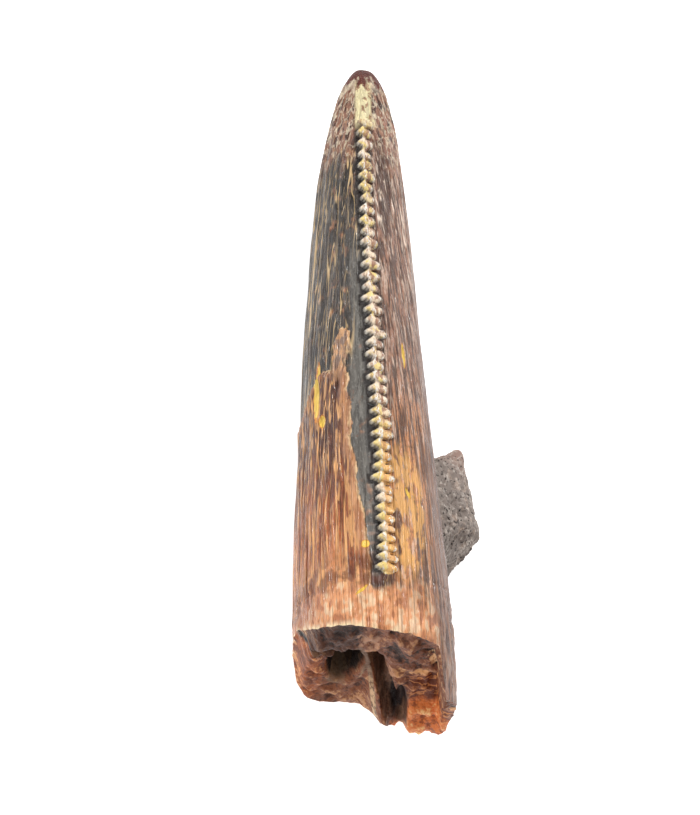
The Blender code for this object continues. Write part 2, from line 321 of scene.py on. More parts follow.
def section(q, angle):  # side and height of the smooth surface, angle 90 degrees at the saw edge
    q = np.maximum(q, 0)
    power = 2 / squareness(q)
    cosine, sine = np.cos(angle), np.sin(angle)
    pinch = 1 - tooth["flankPinch"] * np.exp(-((sine / 0.43) ** 2)) * (1 - smooth(0, 0.5, q))
    side = halfWidth(q) * np.sign(cosine) * np.abs(cosine) ** power * pinch
    share = np.where(sine > 0, tooth["widest"], 1 - tooth["widest"])
    middle = sawEdgeHeight(q) - tooth["widest"] * depth(q)
    return side, middle + share * depth(q) * np.sign(sine) * np.abs(sine) ** power


def wander(q, angle):
    share = np.exp(-(((q - tooth["wanderCentre"]) / tooth["wanderSpread"]) ** 2))
    return tooth["sawEdgeWander"] * share * np.clip(np.sin(angle), 0, 1) ** 4


def angleAt(q, side):  # the angle at which the section is this far to the side
    q = np.maximum(q, 0)
    share = np.clip(side / halfWidth(q), 0, 0.97)
    return np.arccos(share ** (squareness(q) / 2))


def flankShares():  # evenly spaced along the surface, closer together where the camera looks
    angle = np.linspace(math.radians(72), math.radians(-84), grid["flankSteps"])
    side, height = section(0.3, angle)
    step = np.hypot(np.diff(side), np.diff(height))
    step *= np.where(angle[1:] > 0, 1, grid["underFlankShare"])
    along = np.concatenate([[0], np.cumsum(step)])
    wanted = np.linspace(0, along[-1], grid["flankColumns"] + 2)[1:-1]
    return (angle[0] - np.interp(wanted, along, angle)) / (angle[0] - angle[-1])


def columnAngles(q):
    shrink = np.clip(halfWidth(np.maximum(q, 0)) / 1.9, 0, 1)
    offsets = grid["sawColumnWidth"] * np.arange(1, grid["sawColumns"] + 1)
    sawStrip = [angleAt(q, x * shrink) for x in offsets]
    front = [-angleAt(q, x * shrink) for x in grid["frontColumns"]]
    flank = [sawStrip[-1] + (front[0] - sawStrip[-1]) * share for share in flankShares()]
    right = [*sawStrip, *flank, *front]
    quarter = np.full_like(q, math.pi / 2)
    left = [math.pi - a for a in reversed(right)]
    return np.stack([quarter, *right, -quarter, *left], axis=1)


def denticleSlots():
    slots = [saw["start"]]
    while slots[-1] < saw["end"]:
        grown = smooth(saw["start"], saw["pitchGrown"], slots[-1])
        slots.append(slots[-1] + saw["pitchAtBase"] + (saw["pitchAtTip"] - saw["pitchAtBase"]) * grown)
    return slots


def rowsUp():  # distance up, phase and denticle number of each row
    slots = denticleSlots()
    rows = [(saw["start"] * i / grid["rootRows"], 0, -1) for i in range(grid["rootRows"])]
    for number, (low, high) in enumerate(zip(slots, slots[1:])):
        rows += [(low + (high - low) * phase, phase, number) for phase in grid["denticleRows"]]
    room = tooth["length"] - slots[-1]
    for i in range(grid["tipRows"]):
        share = 1 - (1 - i / grid["tipRows"]) ** 2
        rows.append((slots[-1] + room * share, 0, -1))
    return np.array(rows).T


# Tooth: its broken base, in mm to the side and from the saw edge

brokenBase = {
    "rim": (  # degrees round the section, 90 at the saw edge and 0 on the lump's side, and the height
        (-90, -0.40), (-85, -0.53), (-80, -0.65), (-75, -0.76), (-62, -1.20), (-50, -1.38), (-36, -2.00),
        (-24, -2.30), (-8, -2.38), (0, -2.20), (15, -2.35), (38, -2.60), (51, -2.65), (56, -0.66),
        (65, -0.54), (75, -0.41), (90, -0.23), (100, -0.07), (110, 0.07), (126, 0.16), (141, 0.33),
        (155, 0.56), (165, 0.79), (180, 1.30), (190, 1.13), (205, 0.80), (215, 0.15), (230, -0.32),
        (245, -0.42), (260, -0.32), (270, -0.40),
    ),
    "leftInside": ((0, 0.0), (0.5, -0.05), (2.4, -0.3), (2.9, -0.2), (3.6, -0.05), (5.0, -0.1),
                   (8.8, -0.3)),  # depth from the saw edge, and the height there
    "rightInside": ((0, -0.2), (0.9, -0.62), (3.1, -0.9), (3.25, -0.8), (5.0, -1.3), (5.4, -1.6),
                    (6.9, -2.1), (7.6, -1.8), (8.8, -1.1)),
    "sidesMeet": (-0.2, 0.9),
    "skin": (0.85, 1.0),  # shares of the way out, where the inside rises to the rim
    "wallInside": ((0.6, 2.06), (1.5, 2.22), (4.0, 2.50), (5.0, 2.62), (7.0, 3.00)),  # right outer wall
    "wallEnd": (6.0, 7.2),
    "hollows": (  # centre, size, turn and depth of the two pulp hollows, and a pit
        ((-1.10, 4.35), (0.85, 2.4), 0.0, 2.3),
        ((0.58, 5.2), (0.50, 3.4), -0.32, 1.5),
        ((1.25, 6.2), (0.34, 1.9), -0.10, 1.3),
    ),
    "cracks": (((-3.2, 4.7), (-2.7, 3.2)), ((-2.7, 3.2), (-2.0, 2.8)), ((-2.0, 2.8), (-0.9, 2.5))),
    "crackHalf": 0.14,
    "crackDepth": 0.6,
    "septum": (((-0.88, 2.0), (-0.20, 4.4)), ((-0.20, 4.4), (-0.69, 8.2)), ((-0.20, 4.4), (0.62, 8.6))),
    "septumHalf": (0.20, 0.10, 0.13),
    "foldSlant": 0.35,  # of the folds in the hollows
}


def alongDepth(table, m):
    places, heights = zip(*table)
    return np.interp(m, places, heights)


def rimLevel(angle):
    return alongDepth(brokenBase["rim"], np.degrees(angle))


def bowl(u, m, centre, size, turn):  # 1 on the floor of an oval hollow, 0 outside it
    du, dm = u - centre[0], m - centre[1]
    across = (du * math.cos(turn) + dm * math.sin(turn)) / size[0]
    along = (dm * math.cos(turn) - du * math.sin(turn)) / size[1]
    return 1 - smooth(0.5, 1, np.hypot(across, along))


def ridge(u, m, line, half):  # 1 along a line between two points of the break
    (u0, m0), (u1, m1) = line
    run = (u1 - u0) ** 2 + (m1 - m0) ** 2
    t = np.clip(((u - u0) * (u1 - u0) + (m - m0) * (m1 - m0)) / run, 0, 1)
    away = np.hypot(u - u0 - t * (u1 - u0), m - m0 - t * (m1 - m0))
    return np.exp(-((away / half) ** 2))


def septumAt(u, m):
    walls = [ridge(u, m, *wall) for wall in zip(brokenBase["septum"], brokenBase["septumHalf"])]
    return np.maximum.reduce(walls)


def crackAt(u, m):
    return np.maximum.reduce([ridge(u, m, line, brokenBase["crackHalf"]) for line in brokenBase["cracks"]])


def hollowAt(u, m):  # how deep the hollows go
    bowls = [deep * bowl(u, m, centre, size, turn) for centre, size, turn, deep in brokenBase["hollows"]]
    return np.maximum.reduce(bowls) * (1 - septumAt(u, m))


def breakHeight(angle, share, u, m):
    base = brokenBase
    onRight = smooth(*base["sidesMeet"], u)
    inside = alongDepth(base["leftInside"], m) * (1 - onRight) + alongDepth(base["rightInside"], m) * onRight
    inside = inside + hollowAt(u, m) + base["crackDepth"] * crackAt(u, m)
    wall = smooth(-0.07, 0.07, u - alongDepth(base["wallInside"], m)) * (1 - smooth(*base["wallEnd"], m))
    outward = np.maximum(smooth(*base["skin"], share), wall)
    return inside + (rimLevel(angle) - inside) * outward


# Tooth: its fine relief

relief = {  # depth, or 1 for a plain share; size each way in mm; the noise's seed and octaves
    "wrinkles": (0.05, (0.3, 7.0, 0.3), 1, 3),  # lengthwise, in the enamel
    "ridges": (2.4, (0.3, 8.0, 0.3), 12, 2),  # sharper ones, in the crust; higher is narrower
    "swells": (0.06, (1.6, 6.0, 1.6), 2, 3),  # slow rises and falls of the flanks
    "crustRag": (0.05, (0.2, 0.45, 0.2), 3, 3),  # in the line of the crust's edge
    "crustBays": (0.12, (0.7, 1.1, 0.7), 23, 3),
    "neckRag": (0.3, (0.9, 9, 0.9), 4, 4),  # in the line where crown meets root
    "neckGaps": (1, (1.0, 9, 1.0), 33, 3),  # in the crack along it
    "pits": (1, (0.3, 0.5, 0.3), 6, 3),  # in the root
    "rimRag": (0.06, (0.35, 1, 0.5), 14, 4),
    "breakRough": (0.17, (0.9, 1, 0.9), 8, 4),
    "breakLumps": (0.17, (0.42, 1, 0.5), 39, 2),
    "breakGrain": (0.06, (0.22, 1, 0.3), 9, 3),
    "breakFolds": (0.35, (0.35, 1, 2.2), 19, 2),
    "endSteps": (0.05, (1.6, 1, 0.28), 29, 2),  # layers in its right end
}
enamel = {  # millimetres
    "ridgeHeight": 0.06,
    "pitDepth": 0.06,  # of the root
    "chipDepth": 0.05,
    "crustStep": 0.12,  # the torn enamel's edge beside the smooth band
    "crustStepReach": 0.7,
    "crustEdge": ((0, -0.45), (2.4, -0.58), (3.8, -0.71), (4.5, -0.80), (5.5, -0.91), (6.8, -0.94),
                  (7.4, -1.10), (8.5, -1.14), (10.3, -1.13), (11.2, -1.15), (11.8, -0.95),
                  (12.5, -0.85), (13.1, -1.05)),  # up, and to the side
    "crustTop": ((-3.2, 9.0), (-2.4, 10.4), (-2.1, 11.2), (-1.62, 11.1), (-1.52, 12.3), (-1.3, 12.9),
                 (-0.9, 12.6)),  # to the side, and up
    "bandWidth": 0.95,
    "bandNarrowing": 0.35,  # above the crust
    "bandFade": 0.4,
    "bandTop": (14.0, 18.5),
    "neckUp": 1.75,  # crown meets root
    "neckSlope": 0.14,
    "neckCrackHalf": 0.06,
    "neckCrackDepth": 0.07,
    "sawStrip": 0.52,  # half the width along the saw edge that stays smooth
}
chips = (  # flakes off the enamel: to the side, up, half width, half length, turn in degrees
    (-2.12, 10.45, 0.075, 1.15, 3),
    (-2.04, 9.04, 0.09, 0.28, 0),
    (1.21, 11.60, 0.05, 0.50, -3),
    (1.02, 5.56, 0.07, 0.24, -25),
    (-0.77, 3.32, 0.12, 0.17, 30),
    (-0.98, 1.47, 0.06, 0.27, 50),
)
awayFromSaw = 9  # what "across" says off the saw edge


def roughLayer(points, name):  # one row of relief, in mm
    deep, size, seed, octaves = relief[name]
    return deep * roughField(points, size, seed, octaves)


def crustDistance(side, up):  # how far inside the torn enamel's edge a point is, in mm
    inward = alongDepth(enamel["crustEdge"], up) - side
    below = (alongDepth(enamel["crustTop"], side) - up) * 0.8
    return np.minimum(inward, below)


def chipMask(side, up):
    marks = []
    for chipSide, chipUp, half, long, turn in chips:
        turn = math.radians(turn)
        ds, du = side - chipSide, up - chipUp
        across = (ds * math.cos(turn) - du * math.sin(turn)) / half
        along = (du * math.cos(turn) + ds * math.sin(turn)) / long
        marks.append(np.clip(1.5 - np.hypot(across, along), 0, 1))
    return np.maximum.reduce(marks)


def denticleShape(phase, across):  # its height there, as a share; the left end is pointed
    pinch = 0.5 + 2.8 * np.clip(-0.2 - across, 0, 1) + 0.6 * smooth(-0.1, 0.3, across)
    return np.sqrt(np.clip(1 - pinch * (2 * phase - 1) ** 2 - np.abs(across) ** 2.6, 0, 1))


def sawRise(up, shape, start, scale):  # how far the denticles stand out
    grown = smooth(start - saw["growBefore"], start + saw["growAfter"], up)
    wornDown = smooth(saw["end"], saw["wornDown"], up)
    return saw["height"] * scale * grown * (1 - wornDown) * shape**0.9


def surfaceNormals(points):  # of a grid of points that closes on itself sideways
    upward = np.gradient(points, axis=0)
    around = np.roll(points, -1, axis=1) - np.roll(points, 1, axis=1)
    normal = np.cross(around, upward)
    return normal / np.maximum(np.linalg.norm(normal, axis=-1, keepdims=True), 1e-9)


def wornTip(points):  # points beyond the slanted wear face, moved back onto it
    normal = np.array(tooth["tipWearNormal"])
    tip = np.array((0, tooth["length"], sawEdgeHeight(1.0)))
    past = (points - tip) @ normal + tooth["tipWearDepth"]
    past = (past + np.hypot(past, tooth["tipWearRounding"])) / 2
    return points - np.where(past > 0.01, past, 0)[..., None] * normal


def sawEdge(up, phase, number, side):  # how far the denticles stand out, and how each one differs
    dice = np.random.default_rng(5)
    most = 80  # draws of each kind, more than there are denticles
    index = number.astype(int)
    edge = {name: dice.uniform(*ends, most)[index] for name, ends in saw["draws"].items()}
    narrow = 1 - saw["narrowing"] * smooth(11, 19, up)
    across = (side - edge["shift"]) / (saw["halfWidth"] * edge["width"] * narrow)
    onRight = smooth(-0.2, 0.25, across)
    shape = denticleShape((phase + edge["later"] * onRight) % 1, across)
    low = 1 - edge["rightLow"] * onRight * (1 - 0.5 * smooth(6, 10, up))
    frontShape = denticleShape(phase, side / (saw["halfWidth"] * saw["frontScale"]))
    edge["across"] = across
    edge["shape"] = shape
    edge["rear"] = sawRise(up, shape, saw["start"], 1.0) * edge["height"] * low
    edge["front"] = sawRise(up, frontShape, saw["frontStart"], saw["frontScale"])
    return edge


def sawValues(up, phase, sawSide, band, edge):  # what the enamel needs to know of the saw edge
    across, shape = edge["across"], edge["shape"]
    fromSlot = np.abs(phase - np.round(phase))
    present = smooth(saw["start"] - 0.3, saw["start"], up) * (1 - smooth(saw["end"], saw["end"] + 0.5, up))
    leftEnd = 1 - smooth(1.05, 1.3, -across)
    rightEnd = 1 - smooth(0.95, 1.1, across)
    # the gaps between the denticles, to be painted near-black as painted shade
    slot = (1 - smooth(0.3, 0.76, shape)) * smooth(0.15, 0.5, np.abs(across)) * leftEnd * rightEnd
    slot = slot * np.where(across < 0, 1, edge["rightSlotShade"] * smooth(4, 9, up))
    slot = np.maximum(slot, 0.5 * np.clip(1 - fromSlot / 0.13, 0, 1) * (np.abs(across) < 0.6))
    # V-shaped notches at the lobes' left ends, also painted shade
    notchShade = smooth(0.32, 0.52, np.abs(2 * phase - 1) - 0.5 * (across + 0.6))
    notchShade = notchShade * (across < -0.25) * leftEnd * (0.15 + 0.85 * smooth(5, 8, up))
    rungs = np.clip(1.5 - fromSlot / 0.17, 0, 1) * (across < -0.9) * band * (1 - smooth(3.6, 4.6, up))
    fused = smooth(saw["end"] - 0.3, saw["end"] + 0.2, up) * (1 - smooth(23.3, 23.9, up)) * sawSide
    return {
        "slot": np.maximum(slot, notchShade) * present * sawSide,
        "rungs": rungs * present,
        "across": np.where(sawSide, across, awayFromSaw),
        "lobe": shape * present * sawSide,
        "tone": edge["tone"] + 0 * up,
        "fused": fused * (1 - smooth(0.9, 1.3, np.abs(across))),
    }


def toothGrid():  # the outside, in rows from the rim to the tip, and what its points are made of
    rows, phase, number = [row[:, None] for row in rowsUp()]
    q = rows / tooth["length"]
    angle = columnAngles(q[:, 0])
    baseSide, baseHeight = section(np.zeros_like(angle[:1]), angle[:1])
    rimSpot = np.stack([baseSide, 0 * baseSide, baseHeight], axis=-1)
    rim = rimLevel(angle[:1]) + roughLayer(rimSpot, "rimRag")
    up = rows + rim * np.clip(1 - rows / grid["breakReach"], 0, 1) ** 2
    side, height = section(up / tooth["length"], angle)
    sawSide = np.sin(angle) > 0
    edge = sawEdge(up, phase, number, side)
    swell = saw["swellHeight"] * np.exp(-((side / saw["swellHalfWidth"]) ** 2)) * (1 - q) ** 0.5
    height = height + np.where(sawSide, edge["rear"] + swell, -edge["front"])
    points = np.stack([side - wander(q, angle), up, height], axis=-1)

    taper = np.sqrt(tooth["baseWidth"] / 2 / np.maximum(halfWidth(np.clip(q, 0, 0.985)), 0.3))
    middle = sawEdgeHeight(q) - tooth["widest"] * depth(np.clip(q, 0, 1))
    grain = np.stack([side * taper, up, (height - middle) * taper], axis=-1)

    onTop = sawSide & (height > middle)
    crust = np.where(onTop | (side < 0), crustDistance(side, up), -1)
    crust = crust + roughLayer(grain, "crustRag") + roughLayer(grain, "crustBays")
    crusted = smooth(0, 0.14, crust) * (side < 0)
    chip = np.where(sawSide, chipMask(side, up), 0)
    nearSaw = sawSide * smooth(saw["start"] - 0.6, saw["start"], up)
    nearSaw = nearSaw * np.exp(-((side / enamel["sawStrip"]) ** 4))
    bandWidth = enamel["bandWidth"] - enamel["bandNarrowing"] * smooth(10.5, 12.5, up)
    band = (side < 0) * sawSide * (1 - smooth(-0.06, 0.06, crust)) * smooth(1.7, 2.2, up)
    band = band * (1 - smooth(bandWidth, bandWidth + enamel["bandFade"], -side))
    band = band * (1 - smooth(*enamel["bandTop"], up))
    neckLine = enamel["neckUp"] + enamel["neckSlope"] * (np.abs(side) - 0.56) + roughLayer(grain, "neckRag")
    root = 1 - smooth(-0.5, 0.3, up - neckLine)
    neckCrack = np.exp(-(((up - neckLine) / enamel["neckCrackHalf"]) ** 2)) * (1 - nearSaw)
    neckCrack = neckCrack * smooth(0.0, 0.4, roughLayer(grain, "neckGaps"))
    ridges = np.clip(1 - np.abs(roughLayer(grain, "ridges")), 0, 1)
    pits = roughLayer(grain, "pits")

    onFlank = (1 - 0.85 * band) * (1 - 0.75 * root) * (1 - 0.9 * nearSaw)
    tornStep = crusted * np.exp(-np.maximum(crust, 0) / enamel["crustStepReach"])
    tornStep = tornStep * smooth(1.2, 2.6, up) * smooth(-2.7, -2.2, side)
    lift = (roughLayer(grain, "wrinkles") + enamel["ridgeHeight"] * ridges * crusted) * onFlank
    lift = lift + roughLayer(grain, "swells") * (1 - nearSaw) + enamel["crustStep"] * tornStep
    lift = lift - enamel["neckCrackDepth"] * neckCrack + enamel["pitDepth"] * pits * root
    lift = lift - enamel["chipDepth"] * smooth(0.3, 0.7, chip)
    lift = lift * np.clip((1 - q) / 0.04, 0, 1)
    points = wornTip(points + surfaceNormals(points) * lift[..., None])
    values = {
        "grain": grain,
        "crust": crust,
        "chip": chip,
        "band": band,
        "root": root,
        **sawValues(up, phase, sawSide, band, edge),
        "neckCrack": neckCrack,
        "ridge": ridges,
        "pitted": np.clip(0.5 + pits, 0, 1),
        "fromRim": rows + 0 * side,
        "side": side,
        "up": up,
    }
    return points, values, angle[0], baseSide[0], baseHeight[0]


def breakGrid(rim, angle, baseSide, baseHeight):  # rings from the middle to just inside the rim
    middle = -0.5 * tooth["baseDepth"]
    share = (np.arange(1, grid["breakRings"]) / grid["breakRings"])[:, None]
    side = baseSide * share
    m = -(middle + (baseHeight - middle) * share)
    slant = brokenBase["foldSlant"]
    spot = np.stack([side, 0 * side, m], axis=-1)
    slanted = np.stack([side + slant * m, 0 * side, m - slant * side], axis=-1)
    septum = septumAt(side, m)
    hollow = hollowAt(side, m)
    rough = (roughLayer(spot, "breakRough") + roughLayer(spot, "breakLumps")) * (1 - septum)
    rough = rough + roughLayer(spot, "breakGrain") * (1 - 0.7 * septum)
    rough = rough - np.abs(roughLayer(slanted, "breakFolds")) * np.clip(hollow, 0, 1)
    rough = rough + roughLayer(spot, "endSteps") * smooth(1.0, 1.4, side) * smooth(3.0, 3.4, m)
    inner = 1 - smooth(0.9, 1.0, share)
    x = rim[:, 0] * share
    z = middle + (rim[:, 2] - middle) * share
    y = breakHeight(angle, share, side, m) + rough * inner + (rim[:, 1] - rimLevel(angle)) * share**6
    values = {
        "spot": np.stack([side, y, m], axis=-1),
        "proud": np.clip(0.5 - rough / 0.6, 0, 1),
        "hollow": np.clip(hollow / 2.0, 0, 1),
        "crack": crackAt(side, m),
        "outward": share + 0 * side,
        "septum": septum,
    }
    return np.stack([x, y, z], axis=-1), values


def meshOfRings(name, rings, firstEnd, lastEnd):
    rows, count = rings.shape[:2]
    points = [tuple(firstEnd), *map(tuple, rings.reshape(-1, 3)), tuple(lastEnd)]
    faces = []
    for i in range(count):
        j = (i + 1) % count
        faces.append((0, 1 + j, 1 + i))
        for row in range(rows - 1):
            here, above = 1 + row * count, 1 + (row + 1) * count
            faces.append((here + i, here + j, above + j, above + i))
        last = 1 + (rows - 1) * count
        faces.append((last + i, last + j, len(points) - 1))
    mesh = bpy.data.meshes.new(name)
    mesh.from_pydata(points, [], faces)
    return mesh


def laidDown(points):  # from the tooth's own axes to where it lies; also gives the turn and move
    turn = Matrix.Rotation(math.radians(-tooth["restTilt"]), 3, "X")
    turn = np.array(turn @ Matrix.Rotation(math.radians(tooth["lean"]), 3, "Y"))
    placed = points @ turn.T
    low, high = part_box("tooth")
    middle = (np.array(low) + np.array(high)) / 2 / mm
    flat = placed.reshape(-1, 3)
    move = middle - (flat.min(axis=0) + flat.max(axis=0)) / 2
    move[2] = -flat[:, 2].min() - tooth["keelWornAway"]
    placed = placed + move
    placed[..., 2] = np.maximum(placed[..., 2], 0)
    return placed * mm, turn, move


def storeValues(mesh, name, values):  # one value, or three, for each point of the mesh
    kind, key = ("FLOAT_VECTOR", "vector") if values.ndim == 2 else ("FLOAT", "value")
    attribute = mesh.attributes.new(name, kind, "POINT")
    attribute.data.foreach_set(key, values.astype(np.float32).ravel())


def addTooth():
    outer, outerValues, angle, baseSide, baseHeight = toothGrid()
    inner, innerValues = breakGrid(outer[0], angle, baseSide, baseHeight)
    middle = np.array((0.0, inner[0, :, 1].mean(), -0.5 * tooth["baseDepth"]))
    rings = np.concatenate([inner, outer])
    ends = np.stack([middle, outer[-1].mean(axis=0)])
    placed, turn, move = laidDown(np.concatenate([ends, rings.reshape(-1, 3)]))
    mesh = meshOfRings("fossil_tooth", placed[2:].reshape(rings.shape), placed[0], placed[1])
    perRing = rings.shape[1]
    for name, given in outerValues.items():
        elsewhere = awayFromSaw if name == "across" else 0.0
        blank = np.full((1 + len(inner) * perRing, *given.shape[2:]), elsewhere)
        storeValues(mesh, name, np.concatenate([blank, *given, given[-1, :1]]))
    for name, given in innerValues.items():
        edge = np.repeat(given[-1:], len(outer), axis=0)
        storeValues(mesh, name, np.concatenate([given[0, :1], *given, *edge, given[-1, :1]]))
    mesh.materials.append(fossilEnamel())
    mesh.materials.append(brokenDentine())
    isBreak = np.zeros((perRing, len(rings) + 1), np.int32)  # column by column
    isBreak[:, :len(inner) + 1] = 1
    mesh.polygons.foreach_set("material_index", isBreak.ravel())
    mesh.shade_smooth()
    mesh.set_sharp_from_angle(angle=math.radians(tooth["sharpFrom"]))
    piece = bpy.data.objects.new("fossil_tooth", mesh)
    bpy.context.scene.collection.objects.link(piece)
    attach(piece, "root")
    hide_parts("tooth")
    return turn, move


# Sandstone lump: its shape

lump = {  # millimetres, from its centre
    "faces": (  # the way each broken face points, and how far off it is
        ((0.00, 0.00, -1.00), 1.60),
        ((-1.00, 0.00, 0.00), 2.60),
        ((0.96, 0.17, 0.20), 1.52),
        ((0.70, -0.66, 0.25), 1.68),
        ((0.12, 0.97, 0.20), 2.20),
        ((-0.35, -0.90, 0.25), 1.95),
        ((0.45, -0.10, 0.89), 1.80),
        ((0.75, 0.20, 0.63), 1.46),
    ),
    "centreHeight": 1.3,
    "knobWay": Vector((1.0, 2.25, -0.1)).normalized(),
    "knobHeight": 0.5,
    "knobSpread": 0.22,
    "knobColourSpread": 0.3,
    "softEdges": 14,  # higher is sharper
    "gap": 0.12,  # to the tooth's plain surface
    "toothHalfWidth": 2.5,  # beside the lump
    "proudest": 0.05,  # how far its roughness may stand out
    "inward": 0.2,  # how far it may pass the solid's box towards the tooth
    "lumps": (0.9, 0.18),  # size and depth of the broken faces' ups and downs
    "clods": (0.34, 0.13),
    "grains": (0.13, 0.045),
    "detail": 6,
}


def insideTooth(points, turn, move):  # 1 on the tooth's plain surface, less inside it
    own = (points - move) @ turn
    q = np.clip(own[:, 1] / tooth["length"], 0, 0.95)
    middle = sawEdgeHeight(q) - tooth["widest"] * depth(q)
    reach = np.where(own[:, 2] > middle, tooth["widest"], 1 - tooth["widest"]) * depth(q)
    power = squareness(q)
    across = (np.abs(own[:, 0]) / halfWidth(q)) ** power
    return (across + (np.abs(own[:, 2] - middle) / reach) ** power) ** (1 / power)


def fromKnob(ways):  # the angle to the knob, each way
    return np.arccos(np.clip(ways @ np.array(lump["knobWay"]), -1, 1))


def lumpReach(ways):  # how far its surface is from its centre, each way
    faces = np.array([Vector(way).normalized() for way, off in lump["faces"]])
    offs = np.array([off for way, off in lump["faces"]])
    nearness = np.maximum(ways @ faces.T, 1e-3) / offs
    sharp = lump["softEdges"]
    plain = (nearness**sharp).sum(axis=1) ** (-1 / sharp)
    return plain + lump["knobHeight"] * np.exp(-((fromKnob(ways) / lump["knobSpread"]) ** 2))


def roomInBox(ways, centre, low, high):  # how far it is to the walls of a box, each way
    walls = np.where(ways > 0, high, low) - centre
    return np.min(walls / np.where(np.abs(ways) < 1e-9, 1e-9 * np.sign(walls), ways), axis=1)


def addLump(turn, move):
    low, high = [np.array(corner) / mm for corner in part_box("matrix_lump")]
    stone = bmesh.new()
    bmesh.ops.create_icosphere(stone, subdivisions=lump["detail"] + 1, radius=1)
    mesh = bpy.data.meshes.new("sandstone_lump")
    stone.to_mesh(mesh)
    stone.free()
    ways = np.empty(len(mesh.vertices) * 3)
    mesh.vertices.foreach_get("co", ways)
    ways = ways.reshape(-1, 3)
    plain = ways * lumpReach(ways)[:, None]
    endToEnd = (low[1] + high[1] - plain[:, 1].min() - plain[:, 1].max()) / 2
    centre = np.array((high[0] - plain[:, 0].max(), endToEnd, lump["centreHeight"]))
    rough = sum(deep * roughField(plain, (size, size, size), seed, 2)
                for seed, (size, deep) in enumerate((lump["lumps"], lump["clods"], lump["grains"]), 40))
    reach = lumpReach(ways) + np.minimum(rough, lump["proudest"])
    reach = np.minimum(reach, roomInBox(ways, centre, (low[0] - lump["inward"], low[1], 0), high))
    clear = 1 + lump["gap"] / lump["toothHalfWidth"]
    nearest, farthest = 0 * reach, reach.copy()
    for step in range(12):  # halving the way until the point stands clear of the tooth
        tried = np.where(step == 0, farthest, (nearest + farthest) / 2)
        free = insideTooth(centre + ways * tried[:, None], turn, move) > clear
        nearest = np.where(free, tried, nearest)
        farthest = np.where(free, farthest, tried)
    points = centre + ways * nearest[:, None]
    mesh.vertices.foreach_set("co", (points * mm).ravel())
    storeValues(mesh, "grain", plain)
    storeValues(mesh, "knob", np.exp(-((fromKnob(ways) / lump["knobColourSpread"]) ** 2)))
    mesh.materials.append(sandstone())
    mesh.shade_smooth()
    piece = bpy.data.objects.new("sandstone_lump", mesh)
    bpy.context.scene.collection.objects.link(piece)
    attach(piece, "root")
    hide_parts("matrix_lump")


# Materials

# Fossil enamel: mineral-stained and polished by handling, so it is glossy, grey-brown to
# orange, and finely streaked along the tooth; where it flaked it shows bright yellow. Real
# streaks and specks start at about 0.02 mm, too fine to show, so the finest are 0.07 mm here.
# Some highlights, glints and sheen, and the shade between the denticles, are painted into
# its colour.
enamelLook = {
    "upper": "#473d36", "upperDark": "#231d1a", "upperLine": "#e6c28c", "upperPale": "#7d7064",
    "crust": "#b9683b", "crustUpper": "#6c4231", "crustLine": "#ffbe7c", "crustGroove": "#3b1e15",
    "crustPurple": "#604039", "crustEdge": "#ffd9a6", "crustMargin": "#c98f68", "crustPatch": "#9c8070",
    "band": "#69655f", "bandPale": "#97928a", "bandDark": "#302d2a",
    "right": "#a87a63", "rightLow": "#dc9460", "rightLine": "#ffe6d0", "rightDark": "#4d3226",
    "farRight": "#8c6d60", "farRightDark": "#463430", "golden": "#ffbe6e",
    "root": "#f2a873", "rootPale": "#ffddb4", "rootDark": "#a8613f", "neck": "#6e3823", "rim": "#ffe0b4",
    "chip": "#ffd45c", "chipWarm": "#df8a35",
    "lobe": "#ffe8ca", "lobeYellow": "#ffe28a", "lobePale": "#fff8ea", "crest": "#95644c",
    "crestLine": "#fff6ea", "slot": "#1c120f", "fused": "#fff0be", "fusedDark": "#b98a58",
    "tip": "#a9735a", "tipPale": "#ffeccc", "tipDark": "#452a21", "worn": "#6f2e1c",
    "smoothest": 0.2, "roughest": 0.52,  # least and most roughness
    "denticlePolish": 0.5,  # the denticles' roughness, as a share of the rest
    "ior": 1.62, "specular": 0.36,
}


def upperEnamel(grain):  # the dark upper left, and the right side
    dark = patches(grain, (0.13, 4.0), 0.47, 0.55, seed=11)
    pale = patches(grain, (0.16, 1.2), 0.52, 0.6, seed=7)
    lines = thinLines(grain, (0.45, 30.0), 0.035, seed=21)
    fineLines = thinLines(grain, (0.2, 18.0), 0.045, seed=25)
    broken = patches(grain, (0.35, 3.5), 0.45, 0.5, seed=17)
    brokenMore = patches(grain, (0.25, 2.4), 0.48, 0.54, seed=18)
    speck = patches(grain, (0.09, 0.16), 0.5, 0.62, seed=20)
    shade = spotMask("side", "up", (0.75, 19.0), (0.28, 2.6))
    # a golden oval right of the saw edge: painted highlight
    golden = overlap(spotMask("side", "up", (0.8, 4.7), (0.9, 2.8)),
                     patches(grain, (0.3, 0.7), 0.42, 0.54, seed=29))
    left = layered(enamelLook, "upper", (
        ("upperPale", pale, 0.5),
        ("upperDark", dark, 0.85),
        ("upperDark", speck, 0.5),
        # pale streaks: partly the enamel's own streaks, partly painted glints
        ("upperLine", lines, broken),
        ("upperLine", fineLines, brokenMore, 0.6),
    ))
    right = layered(enamelLook, "right", (
        ("rightLow", ("up", 12.0, 6.5)),
        ("rightLine", pale, 0.45),
        ("rightDark", dark, 0.8),
        ("rightDark", speck, 0.4),
        ("golden", golden, 0.9),
        ("rightDark", dark, 0.2),
        ("rightDark", shade, 0.8),
        # pale streaks up the right side: partly the enamel's own streaks, partly painted glints
        ("rightLine", fineLines, brokenMore, ("up", 9.0, 18.0), 0.8),
        ("rightLine", lines, broken, brokenMore, ("up", 4.0, 18.0)),
    ))
    return layered(enamelLook, left, ((right, ("side", -0.1, 0.45)),))


